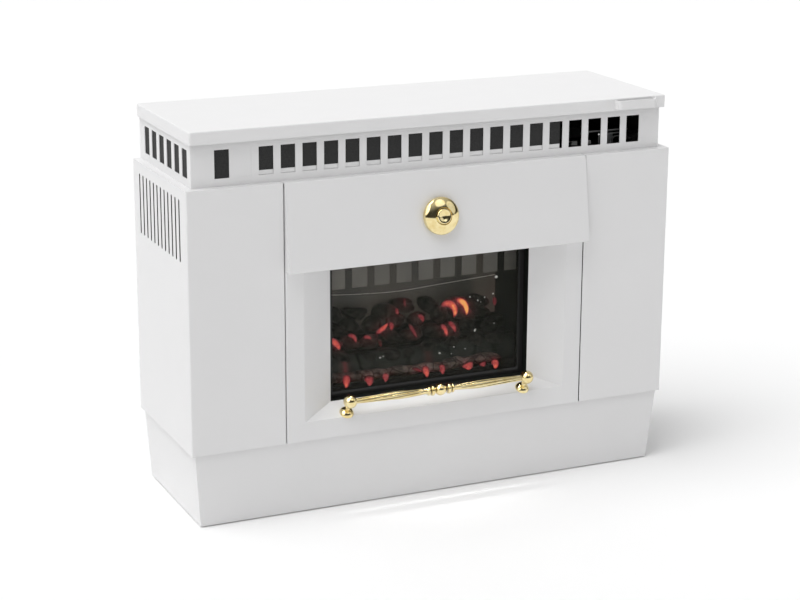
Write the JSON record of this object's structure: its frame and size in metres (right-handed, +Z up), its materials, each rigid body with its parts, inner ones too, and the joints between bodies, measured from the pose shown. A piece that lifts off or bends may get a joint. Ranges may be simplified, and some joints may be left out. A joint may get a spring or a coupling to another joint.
{
  "type": "electric fireplace",
  "caption": "Free-standing white electric fire with a hinged lid over warm-air windows, a hood with a brass knob, and a glazed coal-effect fire in a splayed surround.",
  "frame": {"origin": "on the floor, under the middle of the whole object's bounding box", "axes": "+X to the viewer's right along the width, -Y towards the front, +Z up"},
  "size_m": [0.9, 0.3319, 0.68],
  "materials": {
    "white_paint": "satin white stove paint",
    "galvanised": "zinc-plated",
    "screw_steel": "bright zinc",
    "black_paint": "matte heat-resistant black",
    "brass": "polished",
    "fan_bearing_bronze": "sintered",
    "rubber": "matte",
    "seal_rope": "braided glass fibre",
    "clear_glass": "clear",
    "lamp_glass": "red lacquered",
    "spinner_foil": "mill",
    "scorched_steel": "matte, heat-dulled",
    "fuel_bed": "rough",
    "coal": "rough, glowing in its cracks",
    "flame_screen": "smoked, semi-mirror",
    "black_plastic": "moulded",
    "rocker_plastic": "moulded",
    "grey_plastic": "moulded",
    "thermostat_body": "moulded",
    "insulator": "unglazed",
    "element_wire": "heat-darkened",
    "lead_sleeve": "silicone sleeving"
  },
  "bodies": {
    "case": {"back_panel": "galvanised", "back_screws": "screw_steel", "base_plate": "galvanised", "cable_gland": "black_plastic", "canopy_tabs": "scorched_steel", "coals": "coal", "control_leads": "lead_sleeve", "control_plate": "black_paint", "element_insulators": "insulator", "fan_bearing": "fan_bearing_bronze", "fan_housing": "galvanised", "fan_motor": "galvanised", "feet": "rubber", "fender_balls": "brass", "fender_bar": "brass", "fender_posts": "brass", "fire_glass": "clear_glass", "fire_reveal": "black_paint", "fire_surround": "white_paint", "firebox": "black_paint", "flame_screen": "flame_screen", "fuel_bed": "fuel_bed", "glass_clips": "screw_steel", "glass_seal": "seal_rope", "heating_element": "element_wire", "hinge_leaves_case": "galvanised", "hinge_pins": "galvanised", "hood": "white_paint", "knob_control": "black_plastic", "lampholders": "black_plastic", "lamps": "lamp_glass", "plinth_front": "white_paint", "plinth_left": "white_paint", "plinth_rear": "white_paint", "plinth_right": "white_paint", "side_panel_left": "white_paint", "side_panel_right": "white_paint", "spinner_pins": "galvanised", "switch_housings": "black_plastic", "terminal_block": "black_plastic", "thermal_cutout": "black_plastic", "thermostat": "thermostat_body", "vent_band_front": "white_paint", "vent_band_left": "white_paint", "vent_band_rear": "white_paint", "vent_band_right": "white_paint", "warm_air_duct": "black_paint"},
    "lid": {"lid": "white_paint", "lid_liner": "black_paint", "lid_handle": "white_paint", "hinge_leaves_lid": "galvanised"},
    "front_knob": {"front_knob": "brass", "knob_spindle": "galvanised"},
    "thermostat_knob": {"thermostat_knob": "grey_plastic"},
    "heat_switch_low": {"heat_switch_low": "rocker_plastic"},
    "heat_switch_high": {"heat_switch_high": "rocker_plastic"},
    "fan_rotor": {"impeller": "spinner_foil", "fan_shaft": "galvanised"},
    "spinner_left": {"spinner_left": "spinner_foil"},
    "spinner_right": {"spinner_right": "spinner_foil"}
  },
  "joints": [
    {"name": "lid_hinge", "type": "hinge", "parent": "case", "child": "lid", "pos_m": [0, 0.15744, 0.65815], "axis": [-1, 0, 0], "range_deg": [0, 80]},
    {"name": "front_knob_turn", "type": "hinge", "parent": "case", "child": "front_knob", "pos_m": [-0.005, -0.1435, 0.507], "axis": [0, -0.9894, 0.1451], "range_deg": [0, 270]},
    {"name": "thermostat_turn", "type": "hinge", "parent": "case", "child": "thermostat_knob", "pos_m": [0.366, -0.05406, 0.6], "axis": [0, 0, -1], "range_deg": [0, 280]},
    {"name": "heat_low_rock", "type": "hinge", "parent": "case", "child": "heat_switch_low", "pos_m": [0.296, -0.05406, 0.5905], "axis": [1, 0, 0], "range_deg": [0, 20]},
    {"name": "heat_high_rock", "type": "hinge", "parent": "case", "child": "heat_switch_high", "pos_m": [0.324, -0.05406, 0.5905], "axis": [1, 0, 0], "range_deg": [0, 20]},
    {"name": "fan_spin", "type": "hinge", "parent": "case", "child": "fan_rotor", "pos_m": [-0.0485, -0.01206, 0.534], "axis": [1, 0, 0], "continuous": true},
    {"name": "spinner_left_spin", "type": "hinge", "parent": "case", "child": "spinner_left", "pos_m": [-0.097, 0.01394, 0.184], "axis": [0, 0, 1], "continuous": true},
    {"name": "spinner_right_spin", "type": "hinge", "parent": "case", "child": "spinner_right", "pos_m": [0.097, 0.01394, 0.184], "axis": [0, 0, 1], "continuous": true}
  ]
}
